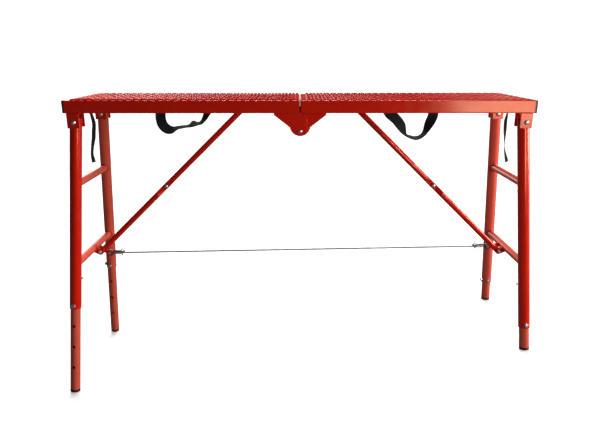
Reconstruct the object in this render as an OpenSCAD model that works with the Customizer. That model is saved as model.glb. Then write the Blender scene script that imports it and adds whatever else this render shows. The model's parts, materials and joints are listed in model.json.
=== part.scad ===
// Folding sawhorse: a two-part steel deck on two folding, telescoping leg frames.
// Lengths are in millimetres. Z is up, X runs along the deck and Y across it.
// Every piece is drawn in the deck's own frame, whose origin is the middle of the
// rails' top, and the whole is then leaned until all four feet stand on the floor.

/* [Deck] */
// Length of the unfolded deck over its end caps
deck_l = 1500; // [1300:10:1700]
// Width of the deck over its long rails
deck_w = 300; // [270:5:420]
// Gap between the two deck halves' long rails
centre_gap = 6; // [4:1:12]
// Gap between the two centre rails
centre_rail_gap = 2; // [1:0.5:4]
// Height of the deck rails
rail_h = 40; // [36:1:50]
// Width of the long rails and the centre rails
rail_w = 20; // [18:1:30]
// Width of the outer end rails
end_rail_w = 25; // [20:1:35]
// Wall of the box tubes
rail_wall = 1.5; // [1.2:0.1:3]
// Outer corner radius of the box tubes
rail_r = 2.5; // [2:0.1:4]
// Side of the square cross bars
bar_side = 20; // [16:1:22]
// Thickness of the rail end caps
cap_t = 6.5; // [4:0.5:10]
// Distance from the end of the deck in to the cross bar of the tie strap
strap_bar_in = 60; // [50:1:100]

/* [Expanded metal] */
// Height of the expanded metal sheet
mesh_t = 5; // [2:0.5:7]
// Short way of one diamond, along the deck
mesh_short = 25; // [18:1:40]
// Long way of one diamond, across the deck
mesh_long = 50; // [36:1:80]
// Width of a strand seen from above
strand_w = 5; // [4:0.5:7]
// Solid edge strip round each sheet
mesh_edge = 6; // [4:1:10]
// Distance from the middle of the deck to the left sheet
left_mesh_in = 5; // [5:1:20]
// Distance from the middle of the deck to the right sheet
right_mesh_in = 19; // [5:1:20]

/* [Centre hinge] */
// Depth of the hinge bolt under the rails
hinge_drop = 58; // [50:1:70]
// Thickness of a hinge plate
hinge_t = 4; // [3:0.5:5]
// Reach of a hinge plate along its rail
hinge_reach = 83; // [60:1:120]
// Radius of the hinge plate's nose
nose_r = 33; // [26:1:40]
// Distance from the hinge bolt up to the middle of the nose
nose_up = 19; // [10:1:24]
// Thickness of the welding flange
flange_t = 2.5; // [2:0.5:4]
// Diameter of the hinge bolts and brace bolts
bolt_d = 8; // [6:1:10]

/* [Leg frames] */
// Distance from the end of the deck in to a leg pivot
leg_inset = 31; // [22:1:60]
// Depth of the leg pivots under the rails
pivot_drop = 29; // [26:1:34]
// Distance from the outside of a long rail in to a leg's middle at its pivot
leg_set_in = 23; // [22:1:30]
// Outward tilt of a leg frame, in degrees
leg_out = 4.3; // [2:0.1:7]
// Sideways splay of each leg, in degrees
leg_side = 5.7; // [3:0.1:7]
// Outer diameter of the leg tubes
leg_d = 38; // [34:1:40]
// Wall of the leg tubes
leg_wall = 2; // [1.5:0.1:2.5]
// Length of the left leg tubes below the pivot
left_tube_l = 627; // [560:1:700]
// Length of the right leg tubes below the pivot
right_tube_l = 700; // [600:1:720]
// Diameter of the round rungs
rung_d = 25; // [20:1:30]
// Distance from the pivot down to the upper rung
upper_rung = 203; // [170:1:240]
// Distance from the pivot down to the lower rung
lower_rung = 474; // [440:1:500]

/* [Inner legs] */
// Gap all round an inner leg in its leg tube
slide_gap = 0.5; // [0.3:0.1:1]
// Wall of the inner legs
inner_wall = 1.5; // [1:0.1:2.5]
// Length of an inner leg
inner_l = 430; // [400:5:450]
// Diameter of the height holes
hole_d = 10.5; // [7:0.5:12]
// Spacing of the height holes
hole_pitch = 75; // [60:1:75]
// Height of the lowest hole above the foot
first_hole = 93; // [85:1:100]
// Hole in use on the left legs, counted up from the foot
left_hole = 3; // [0:1:4]
// Hole in use on the right legs, counted up from the foot
right_hole = 0; // [0:1:4]
// Height of the lock screw above the leg tube's end
lock_up = 13; // [10:1:18]
// Height of the foot cap
foot_t = 9; // [6:1:14]

/* [Folding braces] */
// Diameter of the brace tubes
brace_d = 20; // [16:1:21]
// Distance from the middle of the deck to a brace's top pivot
brace_x = 196; // [170:1:230]
// Distance from the leg pivot down to the brace's foot pivot
brace_at = 485; // [475:1:500]
// Distance from the leg plane in to the brace's foot pivot
brace_in = 29; // [26:1:32]
// Thickness of the brace tongues
tongue_t = 4; // [3:0.5:4]

/* [Steel cable] */
// Diameter of the steel cable
cable_d = 6; // [3:0.5:8]
// Radius of the eye at each end of the cable
eye_r = 11; // [8:1:14]
// Length of the cable lugs, from the rung to the eye
cable_lug_l = 56; // [45:1:70]
// Tilt of the left cable lug below the leg frame's square, in degrees
left_lug_tilt = 31; // [0:1:35]
// Tilt of the right cable lug below the leg frame's square, in degrees
right_lug_tilt = 4; // [0:1:35]

/* [Webbing] */
// Thickness of the webbing
web_t = 4; // [2:0.5:6]
// Depth of a carrying handle behind the front rail
handle_t = 12; // [8:1:13]
// Length of a tie strap
strap_l = 186; // [120:5:200]
// Width of a tie strap
strap_w = 12; // [10:1:20]

/* [Hidden] */
$fn = 48;

LEFT = -1;
RIGHT = 1;
FRONT = -1;
BACK = 1;

paint = [0.80, 0.09, 0.02];
zinc = [0.78, 0.78, 0.76];
web_black = [0.05, 0.05, 0.06];
cap_black = [0.10, 0.03, 0.02];

// running clearance of a pivot, and room between pieces that pass each other
pin_fit = 0.08;
pass_gap = 0.6;
cut = 1;

// leg pivot and hinge pivot in the deck's frame
pivot_x = deck_l / 2 - leg_inset;
leg_y = deck_w / 2 - leg_set_in;
pivot_z = -(rail_h + pivot_drop);
hinge_z = -(rail_h + hinge_drop);
leg_r = leg_d / 2;
leg_bore = leg_d - 2 * leg_wall;
inner_d = leg_bore - 2 * slide_gap;
leg_top = 12;
leg_bolt_d = 10;

// leg bracket: a channel whose cheeks stand either side of the leg
cheek_t = 3;
cheek_gap = leg_d + 6;
cheek_half_w = 19;
cheek_below = 18;

// along-leg reach of a foot below its pivot
function tube_l(side) = side < 0 ? left_tube_l : right_tube_l;
function hole_in_use(side) = side < 0 ? left_hole : right_hole;
function inner_out(side) = first_hole + hole_in_use(side) * hole_pitch - lock_up;
function leg_reach(side) = tube_l(side) + inner_out(side);

// the lean of the deck that puts the feet of both leg frames on one level floor
function foot_x(side) = side * (pivot_x + leg_reach(side) * cos(leg_side) * sin(leg_out));
function foot_z(side) = pivot_z - leg_reach(side) * cos(leg_side) * cos(leg_out);
function leg_up(side, a) =
    side * sin(leg_out) * cos(leg_side) * sin(a) + cos(leg_side) * cos(leg_out) * cos(a);
function rim_drop(side, a) = inner_d / 2 * sqrt(1 - pow(leg_up(side, a), 2));
function low_z(side, a) =
    -foot_x(side) * sin(a) + foot_z(side) * cos(a) - rim_drop(side, a);
function lean_step(a) =
    a + atan((low_z(RIGHT, a) - low_z(LEFT, a)) / (foot_x(RIGHT) - foot_x(LEFT)));
lean = lean_step(lean_step(lean_step(lean_step(0))));
deck_z = -low_z(LEFT, lean);

// ends of the standing object along X, to centre it over its own middle
function leg_ax(side, a) =
    side * sin(leg_out) * cos(leg_side) * cos(a) - cos(leg_side) * cos(leg_out) * sin(a);
function rim_out(side, a) = inner_d / 2 * sqrt(1 - pow(leg_ax(side, a), 2));
function foot_end(side, a) =
    foot_x(side) * cos(a) + foot_z(side) * sin(a) + side * rim_out(side, a);
x_low = min(foot_end(LEFT, lean), -deck_l / 2 * cos(lean) - rail_h * sin(lean));
x_high = max(foot_end(RIGHT, lean), deck_l / 2 * cos(lean));
shift_x = -(x_low + x_high) / 2;

// brace geometry in the right half's frame
brace_top_z = pivot_z + brace_in;
function leg_point(along, inboard) = [
    pivot_x + along * sin(leg_out) - inboard * cos(leg_out),
    pivot_z - along * cos(leg_out) - inboard * sin(leg_out)
];
brace_foot = leg_point(brace_at, brace_in);
brace_span = norm([brace_foot[0] - brace_x, brace_foot[1] - brace_top_z]);
brace_angle = atan2(brace_top_z - brace_foot[1], brace_foot[0] - brace_x);
// folded flat, both pivots lie on one level and this far apart
folded_gap = pivot_x - brace_at - brace_x;
upper_link_l = (brace_span + folded_gap) / 2;
lower_link_l = (brace_span - folded_gap) / 2;
// the two links lie side by side, one each side of the middle plane
link_y = brace_d / 2 + 1;
knuckle_gap = 0.3;
tongue_r = brace_d / 2;
fork_gap = tongue_t + 1.4;
fork_t = 3;
fork_y = fork_gap / 2 + fork_t;

// cable ends in the right half's frame
cable_lug_t = 3;
cable_bolt_d = 6;
cable_y = 32;
function lug_tilt(side) = side < 0 ? left_lug_tilt : right_lug_tilt;
function cable_point(side) = leg_point(
    lower_rung + cable_lug_l * sin(lug_tilt(side)), cable_lug_l * cos(lug_tilt(side)));
ferrule_l = 24;
ferrule_d = cable_d + 5;

// cross bars: brace bar, middle bar and strap bar
strap_bar_x = deck_l / 2 - strap_bar_in;
bar_at = [brace_x, (brace_x + strap_bar_x) / 2, strap_bar_x];
function mesh_in(side) = side < 0 ? left_mesh_in : right_mesh_in;
mesh_x1 = deck_l / 2 - end_rail_w;

// outlines of the slack handles in the deck's XZ plane, measured from the rail's top
left_handle_outer = [
    [-272, -38], [-276, -52], [-305, -80], [-350, -92], [-386, -99], [-412, -112],
    [-446, -94], [-459, -72], [-462, -38]
];
left_handle_inner = [
    [-306, -38], [-308, -56], [-334, -68], [-370, -80], [-418, -86], [-427, -64], [-429, -38]
];
right_handle_outer = [
    [262, -38], [284, -56], [312, -88], [338, -112], [376, -125], [404, -112],
    [430, -84], [443, -60], [443, -38]
];
right_handle_inner = [
    [304, -38], [330, -62], [342, -98], [362, -110], [384, -108], [397, -92], [407, -60], [407, -38]
];
tab_top = -bar_side - 2;

module stand() {
    translate([shift_x, 0, deck_z]) rotate([0, lean, 0]) children();
}

module on_side(side) {
    stand() mirror([side < 0 ? 1 : 0, 0, 0]) children();
}

// the frame of a folding leg: origin in the middle of the pivot line, -Z down the legs
module leg_frame() {
    translate([pivot_x, 0, pivot_z]) rotate([0, -leg_out, 0]) children();
}

module leg_axis(fb) {
    translate([0, fb * leg_y, 0]) rotate([fb * leg_side, 0, 0]) children();
}

// a cylinder along Y from y0 to y1
module y_rod(d, y0, y1) {
    translate([0, y1, 0]) rotate([90, 0, 0]) cylinder(h = y1 - y0, d = d);
}

// a prism of an XZ outline from y0 to y1
module y_plate(y0, y1) {
    translate([0, y1, 0]) rotate([90, 0, 0]) linear_extrude(y1 - y0) children();
}

// a hexagon head or nut on a rod along Y
module y_hex(across, y0, y1) {
    translate([0, y1, 0]) rotate([90, 0, 0])
        cylinder(h = y1 - y0, d = across / cos(30), $fn = 6);
}

// a domed head on the front of a rod along Y, its flat side at y
module y_dome(d, h, y) {
    dome_r = (d * d / 4 + h * h) / (2 * h);
    translate([0, y, 0]) rotate([90, 0, 0]) intersection() {
        translate([0, 0, h - dome_r]) sphere(r = dome_r);
        cylinder(h = h + cut, d = d);
    }
}

module rounded_rect(w, h, r) {
    square([w - 2 * r, h], center = true);
    square([w, h - 2 * r], center = true);
    for (sx = [-1, 1], sy = [-1, 1])
        translate([sx * (w / 2 - r), sy * (h / 2 - r)]) circle(r);
}

// a box tube along X from x0 to x1, its middle at the origin of Y and Z
module x_box(x0, x1, w, h, wall, r) {
    translate([x0, 0, 0]) rotate([90, 0, 90]) linear_extrude(x1 - x0) difference() {
        rounded_rect(w, h, r);
        rounded_rect(w - 2 * wall, h - 2 * wall, max(r - wall, 0.5));
    }
}

// a box tube along Y from y0 to y1
module y_box(y0, y1, w, h, wall, r) {
    translate([0, y1, 0]) rotate([90, 0, 0]) linear_extrude(y1 - y0) difference() {
        rounded_rect(w, h, r);
        rounded_rect(w - 2 * wall, h - 2 * wall, max(r - wall, 0.5));
    }
}

module long_rail(side, fb) {
    on_side(side) color(paint)
        translate([0, fb * (deck_w - rail_w) / 2, -rail_h / 2])
        x_box(centre_gap / 2, deck_l / 2 - cap_t, rail_w, rail_h, rail_wall, rail_r);
}

// the outer end rail and the centre rail, between the long rails
module end_rails(side) {
    inner = deck_w / 2 - rail_w;
    on_side(side) color(paint)
        for (e = [[(deck_l - end_rail_w) / 2, end_rail_w], [(centre_rail_gap + rail_w) / 2, rail_w]])
            translate([e[0], 0, -rail_h / 2])
            y_box(-inner, inner, e[1], rail_h, rail_wall, rail_r);
}

module cross_bars(side) {
    inner = deck_w / 2 - rail_w;
    on_side(side) color(paint)
        for (x = bar_at)
            translate([x, 0, -bar_side / 2])
            y_box(-inner, inner, bar_side, bar_side, rail_wall, rail_r);
}

module rail_caps(side) {
    skin = 1.2;
    plug_l = 12;
    plug_r = max(rail_r - rail_wall, 0.5);
    on_side(side) color(cap_black)
        for (fb = [FRONT, BACK])
            translate([deck_l / 2 - cap_t, fb * (deck_w - rail_w) / 2, -rail_h / 2])
            rotate([90, 0, 90]) {
                linear_extrude(cap_t - skin) rounded_rect(rail_w, rail_h, rail_r);
                translate([0, 0, cap_t - skin])
                    linear_extrude(skin) rounded_rect(rail_w - skin, rail_h - skin, rail_r);
                translate([0, 0, -plug_l]) linear_extrude(plug_l)
                    rounded_rect(rail_w - 2 * rail_wall, rail_h - 2 * rail_wall, plug_r);
            }
}

module deck_mesh(side) {
    mesh_x0 = mesh_in(side);
    sheet_l = mesh_x1 - mesh_x0;
    sheet_w = deck_w - 4;
    inner_l = sheet_l - 2 * mesh_edge;
    inner_w = sheet_w - 2 * mesh_edge;
    cells_x = round(inner_l / mesh_short);
    cells_y = round(inner_w / mesh_long);
    px = inner_l / cells_x;
    py = inner_w / cells_y;
    hole_x = px / 2 - strand_w / 2;
    hole_y = py / 2 - strand_w;
    on_side(side) color(paint) linear_extrude(mesh_t) difference() {
        translate([mesh_x0, -sheet_w / 2]) square([sheet_l, sheet_w]);
        intersection() {
            translate([mesh_x0 + mesh_edge, -inner_w / 2]) square([inner_l, inner_w]);
            for (i = [0 : 2 * cells_x], j = [0 : cells_y])
                translate([
                    mesh_x0 + mesh_edge + i * px / 2,
                    -inner_w / 2 + (j + (i % 2) / 2) * py
                ])
                polygon([[-hole_x, 0], [0, -hole_y], [hole_x, 0], [0, hole_y]]);
        }
    }
}

// outline of the right hinge plate in XZ: a taper from the rail down to a round nose
module hinge_outline() {
    top = -rail_h - flange_t;
    shoulder_z = hinge_z + nose_up - 6;
    polygon([
        [0, top], [hinge_reach, top], [hinge_reach, top - 3],
        [nose_r - 1, shoulder_z], [0, shoulder_z]
    ]);
    translate([0, hinge_z + nose_up]) circle(nose_r);
}

module hinge_plates(side) {
    // the left plate lies outside and the right plate inside, so they pass each other
    y0 = side < 0 ? deck_w / 2 - hinge_t : deck_w / 2 - 2 * hinge_t - pass_gap;
    past = 21;
    sweep_r = hinge_drop - flange_t - 1;
    top = -rail_h - flange_t;
    below = 2 * hinge_drop;
    bore_d = bolt_d + (side < 0 ? 0 : 2 * pin_fit);
    on_side(side) color(paint)
        for (m = [0, 1]) mirror([0, m, 0]) {
            difference() {
                y_plate(y0, y0 + hinge_t) intersection() {
                    hinge_outline();
                    union() {
                        translate([centre_gap / 2, top - below]) square([2 * hinge_reach, below]);
                        intersection() {
                            translate([-past, top - below]) square([past + centre_gap / 2 + cut, below]);
                            translate([0, hinge_z]) circle(sweep_r);
                        }
                    }
                }
                translate([0, 0, hinge_z]) y_rod(bore_d, y0 - cut, y0 + hinge_t + cut);
            }
            translate([centre_gap / 2, deck_w / 2 - rail_w, top])
                cube([hinge_reach - centre_gap / 2, rail_w, flange_t]);
        }
}

module hinge_bolts() {
    inner_y = deck_w / 2 - 2 * hinge_t - pass_gap;
    stand() color(zinc)
        for (m = [0, 1]) mirror([0, m, 0])
            translate([0, 0, hinge_z]) {
                y_rod(bolt_d, inner_y - 8, deck_w / 2);
                mirror([0, 1, 0]) y_dome(13, 4, -deck_w / 2);
                y_hex(13, inner_y - 6.5, inner_y);
            }
}

module leg_brackets(side) {
    half = cheek_gap / 2;
    on_side(side) color(paint)
        for (fb = [FRONT, BACK])
            translate([pivot_x, fb * leg_y, 0]) difference() {
                union() {
                    translate([-cheek_half_w, -half - cheek_t, -rail_h - cheek_t])
                        cube([2 * cheek_half_w, cheek_gap + 2 * cheek_t, cheek_t]);
                    for (y = [-half - cheek_t, half])
                        y_plate(y, y + cheek_t) polygon([
                            [-cheek_half_w, -rail_h - cheek_t],
                            [cheek_half_w, -rail_h - cheek_t],
                            [cheek_half_w, pivot_z - cheek_below + 2],
                            [cheek_half_w - 2, pivot_z - cheek_below],
                            [-cheek_half_w + 2, pivot_z - cheek_below],
                            [-cheek_half_w, pivot_z - cheek_below + 2]
                        ]);
                }
                translate([0, 0, pivot_z]) y_rod(leg_bolt_d, -leg_d, leg_d);
            }
}

// the leg bolts, and the bolt that holds the top of the brace
module pivot_bolts(side) {
    out = cheek_gap / 2 + cheek_t;
    on_side(side) color(zinc) {
        for (fb = [FRONT, BACK])
            translate([pivot_x, fb * leg_y, pivot_z]) {
                y_rod(leg_bolt_d, -out, out + 9);
                y_dome(16, 5, -out);
                y_hex(16, out, out + 7);
            }
        translate([brace_x, 0, brace_top_z]) {
            y_rod(bolt_d, link_y - fork_y, link_y + fork_y);
            y_dome(12, 3.5, link_y - fork_y);
            y_hex(13, link_y + fork_y, link_y + fork_y + 6);
        }
    }
}

module brace_bracket(side) {
    web_w = 2 * fork_y;
    on_side(side) color(paint)
        translate([brace_x, link_y, 0]) difference() {
            union() {
                translate([-16, -web_w / 2, -bar_side - fork_t]) cube([32, web_w, fork_t]);
                for (y = [-fork_y, fork_gap / 2])
                    y_plate(y, y + fork_t) {
                        translate([0, brace_top_z]) circle(12);
                        translate([-12, brace_top_z])
                            square([24, -bar_side - fork_t - brace_top_z]);
                    }
            }
            translate([0, 0, brace_top_z]) y_rod(bolt_d, -2 * fork_y, 2 * fork_y);
        }
}

module handle_outline(side, outer, inner) {
    flip = side;
    difference() {
        polygon([for (p = outer) [flip * p[0], p[1]]]);
        polygon(concat(
            [for (p = inner) [flip * p[0], p[1]]],
            [[flip * inner[len(inner) - 1][0], -38 + cut], [flip * inner[0][0], -38 + cut]]
        ));
    }
}

// each handle hangs from two sewn tabs behind the front rail
module handle(side) {
    outer = side < 0 ? left_handle_outer : right_handle_outer;
    inner = side < 0 ? left_handle_inner : right_handle_inner;
    back_of_rail = -deck_w / 2 + rail_w;
    last = len(inner) - 1;
    end = len(outer) - 1;
    on_side(side) color(web_black) {
        y_plate(back_of_rail, back_of_rail + handle_t) intersection() {
            handle_outline(side, outer, inner);
            translate([0, -300]) square([600, 300 - rail_h]);
        }
        for (p = [[outer[0][0], inner[0][0]], [inner[last][0], outer[end][0]]]) {
            a = min(side * p[0], side * p[1]);
            b = max(side * p[0], side * p[1]);
            y_plate(back_of_rail, back_of_rail + web_t)
                translate([a, -rail_h - 2]) square([b - a, tab_top + rail_h + 2]);
        }
    }
}

module handle_screws(side) {
    outer = side < 0 ? left_handle_outer : right_handle_outer;
    inner = side < 0 ? left_handle_inner : right_handle_inner;
    back_of_rail = -deck_w / 2 + rail_w;
    last = len(inner) - 1;
    end = len(outer) - 1;
    on_side(side) color(zinc)
        for (x = [(outer[0][0] + inner[0][0]) / 2, (inner[last][0] + outer[end][0]) / 2])
            translate([side * x, back_of_rail + web_t, tab_top - 9])
            mirror([0, 1, 0]) y_dome(12, 3, 0);
}

module tie_strap(side) {
    on_side(side) color(web_black)
        translate([bar_at[2] - strap_w / 2, -100 - web_t / 4, -bar_side - strap_l])
        cube([strap_w, web_t / 2, strap_l]);
}

module leg_tube(side, fb) {
    l = tube_l(side);
    crown = 3;
    on_side(side) leg_frame() color(paint) difference() {
        leg_axis(fb) difference() {
            translate([0, 0, -l]) cylinder(h = l + leg_top, d = leg_d);
            translate([0, 0, -l - cut]) cylinder(h = l + cut + leg_top - crown, d = leg_bore);
            // a lock screw enters from the front, and in the back legs one from the side too
            for (turn = lock_turns(side, fb))
                translate([0, 0, -l + lock_up]) rotate([0, 0, turn]) y_rod(bolt_d, -leg_d, 0);
            // two spare holes low in the right back tube
            if (side == RIGHT && fb == BACK)
                for (up = [44, 75]) translate([0, 0, -l + up]) y_rod(7, -leg_d, 0);
        }
        translate([0, fb * leg_y, 0]) y_rod(leg_bolt_d + 2 * pin_fit, -leg_d, leg_d);
    }
}

module rung(side, at) {
    half = leg_y + at * tan(leg_side);
    on_side(side) leg_frame() color(paint) difference() {
        translate([0, 0, -at]) y_rod(rung_d, -half, half);
        translate([0, 0, -at]) y_rod(rung_d - 3, -half - cut, half + cut);
        for (fb = [FRONT, BACK])
            leg_axis(fb) translate([0, 0, -at - leg_d]) cylinder(h = 2 * leg_d, d = leg_d);
    }
}

// turns of the lock screws round a leg, counted from the front
function lock_turns(side, fb) = fb == FRONT ? [0] : [0, side == LEFT ? 90 : -90];

// lock screws stop short of the inner leg, which slides past them
module lock_screws(side) {
    l = tube_l(side);
    tip = inner_d / 2 + 0.3;
    stud_at = side == LEFT ? 520 : 545;
    on_side(side) leg_frame() color(zinc) {
        for (fb = [FRONT, BACK], turn = lock_turns(side, fb))
            leg_axis(fb) translate([0, 0, -l + lock_up]) rotate([0, 0, turn]) {
                y_rod(bolt_d, -leg_r - 2, -tip);
                difference() {
                    y_hex(13, -leg_r - 5.5, -leg_r + 1);
                    cylinder(h = leg_d, d = leg_d, center = true);
                }
                y_dome(10, 1.5, -leg_r - 5.5);
            }
        // a small screw on the inner side of the front leg
        leg_axis(FRONT) translate([-leg_r, 0, -stud_at]) rotate([0, -90, 0])
            cylinder(h = 6, d = 7);
    }
}

// forked lug for the brace and single lug for the cable, welded to the lower rung
module stay_lugs(side) {
    dx = -brace_in;
    dz = lower_rung - brace_at;
    reach = norm([dx, dz]);
    on_side(side) leg_frame() translate([0, 0, -lower_rung]) color(paint) difference() {
        union() {
            for (y = [-link_y - fork_y, -link_y + fork_gap / 2])
                y_plate(y, y + fork_t) rotate(atan2(dz, dx)) {
                    translate([0, -tongue_r]) square([reach, 2 * tongue_r]);
                    translate([reach, 0]) circle(tongue_r);
                }
            y_plate(cable_y - cable_d / 2 - cable_lug_t, cable_y - cable_d / 2)
                rotate(180 + lug_tilt(side)) {
                    translate([0, -8]) square([cable_lug_l, 16]);
                    translate([cable_lug_l, 0]) circle(8);
                }
        }
        y_rod(rung_d, -50, 50);
        translate([dx, 0, dz]) y_rod(bolt_d, -link_y - leg_d, 0);
        rotate([0, -lug_tilt(side), 0]) translate([-cable_lug_l, 0, 0])
            y_rod(cable_bolt_d, 0, 50);
    }
}

module stay_bolts(side) {
    dx = -brace_in;
    dz = lower_rung - brace_at;
    lug_y = cable_y - cable_d / 2 - cable_lug_t;
    on_side(side) leg_frame() translate([0, 0, -lower_rung]) color(zinc) {
        translate([dx, 0, dz]) {
            y_rod(bolt_d, -link_y - fork_y - 12, -link_y + fork_y);
            y_hex(13, -link_y - fork_y - 6.5, -link_y - fork_y);
            y_rod(13, -link_y + fork_y, -link_y + fork_y + 4);
        }
        rotate([0, -lug_tilt(side), 0]) translate([-cable_lug_l, 0, 0]) {
            y_rod(cable_bolt_d, lug_y, cable_y + cable_d / 2 + 7);
            y_hex(10, lug_y - 4, lug_y);
            y_hex(10, cable_y + cable_d / 2, cable_y + cable_d / 2 + 5);
        }
    }
}

module inner_leg(side, fb) {
    reach = leg_reach(side);
    on_side(side) leg_frame() leg_axis(fb) color(paint) difference() {
        translate([0, 0, foot_t - reach]) cylinder(h = inner_l - foot_t, d = inner_d);
        translate([0, 0, foot_t - reach - cut])
            cylinder(h = inner_l + 2 * cut, d = inner_d - 2 * inner_wall);
        for (k = [0 : 4])
            translate([0, 0, first_hole + k * hole_pitch - reach])
            y_rod(hole_d, -inner_d, inner_d);
    }
}

module foot_cap(side, fb) {
    plug_l = 18;
    on_side(side) leg_frame() leg_axis(fb) color(cap_black)
        translate([0, 0, -leg_reach(side)]) {
            cylinder(h = foot_t, d = inner_d);
            translate([0, 0, foot_t]) cylinder(h = plug_l, d = inner_d - 2 * inner_wall);
        }
}

// a brace link along X: tube between two tongues, y_tube and y_tongue place them across
module brace_link(l, y_tube, y_near, y_far, near_bore, far_bore) {
    crush = 26;
    near_l = 14;
    difference() {
        union() {
            translate([near_l + crush, y_tube, 0]) rotate([0, 90, 0])
                cylinder(h = l - 2 * (near_l + crush), d = brace_d);
            for (e = [[0, 1, y_near], [l, -1, y_far]]) {
                x = e[0];
                dir = e[1];
                y = e[2];
                y_plate(y - tongue_t / 2, y + tongue_t / 2) {
                    translate([x, 0]) circle(tongue_r);
                    translate([dir > 0 ? x : x - near_l, -tongue_r])
                        square([near_l, 2 * tongue_r]);
                }
                hull() {
                    translate([x + dir * near_l, y, 0])
                        cube([0.2, tongue_t, 2 * tongue_r], center = true);
                    translate([x + dir * (near_l + crush), y_tube, 0]) rotate([0, 90, 0])
                        cylinder(h = 0.2, d = brace_d, center = true, $fn = 32);
                }
            }
        }
        y_rod(near_bore, y_near - 2 * brace_d, y_near + 2 * brace_d);
        translate([l, 0, 0]) y_rod(far_bore, y_far - 2 * brace_d, y_far + 2 * brace_d);
    }
}

module brace_line() {
    translate([brace_x, 0, brace_top_z]) rotate([0, brace_angle, 0]) children();
}

knuckle_y = knuckle_gap + tongue_t / 2;
run_d = bolt_d + 2 * pin_fit;

module upper_brace(side) {
    on_side(side) brace_line() color(paint)
        brace_link(upper_link_l, link_y, link_y, knuckle_y, run_d, bolt_d);
}

module lower_brace(side) {
    on_side(side) brace_line() translate([upper_link_l, 0, 0]) color(paint)
        brace_link(lower_link_l, -link_y, -knuckle_y, -link_y, bolt_d, run_d);
}

// the knuckle bolt's front half stays with the lower link, its back half with the upper
module knuckle_bolt(side) {
    face = -knuckle_y - tongue_t / 2;
    on_side(side) brace_line() translate([upper_link_l, 0, 0]) color(zinc) {
        y_rod(bolt_d, face, -knuckle_gap);
        y_dome(14, 4.5, face);
    }
}

module knuckle_nut(side) {
    face = knuckle_y + tongue_t / 2;
    on_side(side) brace_line() translate([upper_link_l, 0, 0]) color(zinc) {
        y_rod(bolt_d, knuckle_gap, face + 8);
        y_hex(13, face, face + 6);
    }
}

// the cable's line in the deck's frame, from eye to eye
function eye_at(side) = [side * cable_point(side)[0], cable_point(side)[1]];
cable_run = eye_at(RIGHT) - eye_at(LEFT);
cable_l = norm(cable_run);
cable_tilt = -atan2(cable_run[1], cable_run[0]);

module cable_frame() {
    translate([eye_at(LEFT)[0], cable_y, eye_at(LEFT)[1]]) rotate([0, cable_tilt, 0]) children();
}

module tie_cable() {
    stand() cable_frame() color(zinc) {
        for (x = [0, cable_l])
            translate([x, 0, 0]) rotate([90, 0, 0])
                rotate_extrude() translate([eye_r, 0]) circle(cable_d / 2, $fn = 24);
        translate([eye_r, 0, 0]) rotate([0, 90, 0])
            cylinder(h = cable_l - 2 * eye_r, d = cable_d, $fn = 24);
    }
}

module cable_ferrules() {
    stand() cable_frame() color(zinc)
        for (x = [eye_r + cable_d, cable_l - eye_r - cable_d - ferrule_l])
            translate([x, 0, 0]) rotate([0, 90, 0]) difference() {
                cylinder(h = ferrule_l, d = ferrule_d);
                translate([0, 0, -cut]) cylinder(h = ferrule_l + 2 * cut, d = cable_d);
            }
}

long_rail(LEFT, FRONT);  // left_front_rail
long_rail(LEFT, BACK);  // left_back_rail
end_rails(LEFT);  // left_end_rails
cross_bars(LEFT);  // left_cross_bars
rail_caps(LEFT);  // left_rail_caps
deck_mesh(LEFT);  // left_deck_mesh
hinge_plates(LEFT);  // left_hinge_plates
leg_brackets(LEFT);  // left_leg_brackets
pivot_bolts(LEFT);  // left_pivot_bolts
brace_bracket(LEFT);  // left_brace_bracket
handle(LEFT);  // left_handle
handle_screws(LEFT);  // left_handle_screws
tie_strap(LEFT);  // left_tie_strap
long_rail(RIGHT, FRONT);  // right_front_rail
long_rail(RIGHT, BACK);  // right_back_rail
end_rails(RIGHT);  // right_end_rails
cross_bars(RIGHT);  // right_cross_bars
rail_caps(RIGHT);  // right_rail_caps
deck_mesh(RIGHT);  // right_deck_mesh
hinge_plates(RIGHT);  // right_hinge_plates
leg_brackets(RIGHT);  // right_leg_brackets
pivot_bolts(RIGHT);  // right_pivot_bolts
brace_bracket(RIGHT);  // right_brace_bracket
handle(RIGHT);  // right_handle
handle_screws(RIGHT);  // right_handle_screws
tie_strap(RIGHT);  // right_tie_strap
hinge_bolts();
leg_tube(LEFT, FRONT);  // left_front_leg_tube
leg_tube(LEFT, BACK);  // left_back_leg_tube
rung(LEFT, upper_rung);  // left_upper_rung
rung(LEFT, lower_rung);  // left_lower_rung
lock_screws(LEFT);  // left_lock_screws
stay_lugs(LEFT);  // left_stay_lugs
stay_bolts(LEFT);  // left_stay_bolts
leg_tube(RIGHT, FRONT);  // right_front_leg_tube
leg_tube(RIGHT, BACK);  // right_back_leg_tube
rung(RIGHT, upper_rung);  // right_upper_rung
rung(RIGHT, lower_rung);  // right_lower_rung
lock_screws(RIGHT);  // right_lock_screws
stay_lugs(RIGHT);  // right_stay_lugs
stay_bolts(RIGHT);  // right_stay_bolts
inner_leg(LEFT, FRONT);  // left_front_inner_leg
inner_leg(LEFT, BACK);  // left_back_inner_leg
inner_leg(RIGHT, FRONT);  // right_front_inner_leg
inner_leg(RIGHT, BACK);  // right_back_inner_leg
foot_cap(LEFT, FRONT);  // left_front_foot_cap
foot_cap(LEFT, BACK);  // left_back_foot_cap
foot_cap(RIGHT, FRONT);  // right_front_foot_cap
foot_cap(RIGHT, BACK);  // right_back_foot_cap
upper_brace(LEFT);  // left_upper_brace
lower_brace(LEFT);  // left_lower_brace
knuckle_bolt(LEFT);  // left_knuckle_bolt
knuckle_nut(LEFT);  // left_knuckle_nut
upper_brace(RIGHT);  // right_upper_brace
lower_brace(RIGHT);  // right_lower_brace
knuckle_bolt(RIGHT);  // right_knuckle_bolt
knuckle_nut(RIGHT);  // right_knuckle_nut
tie_cable();
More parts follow.
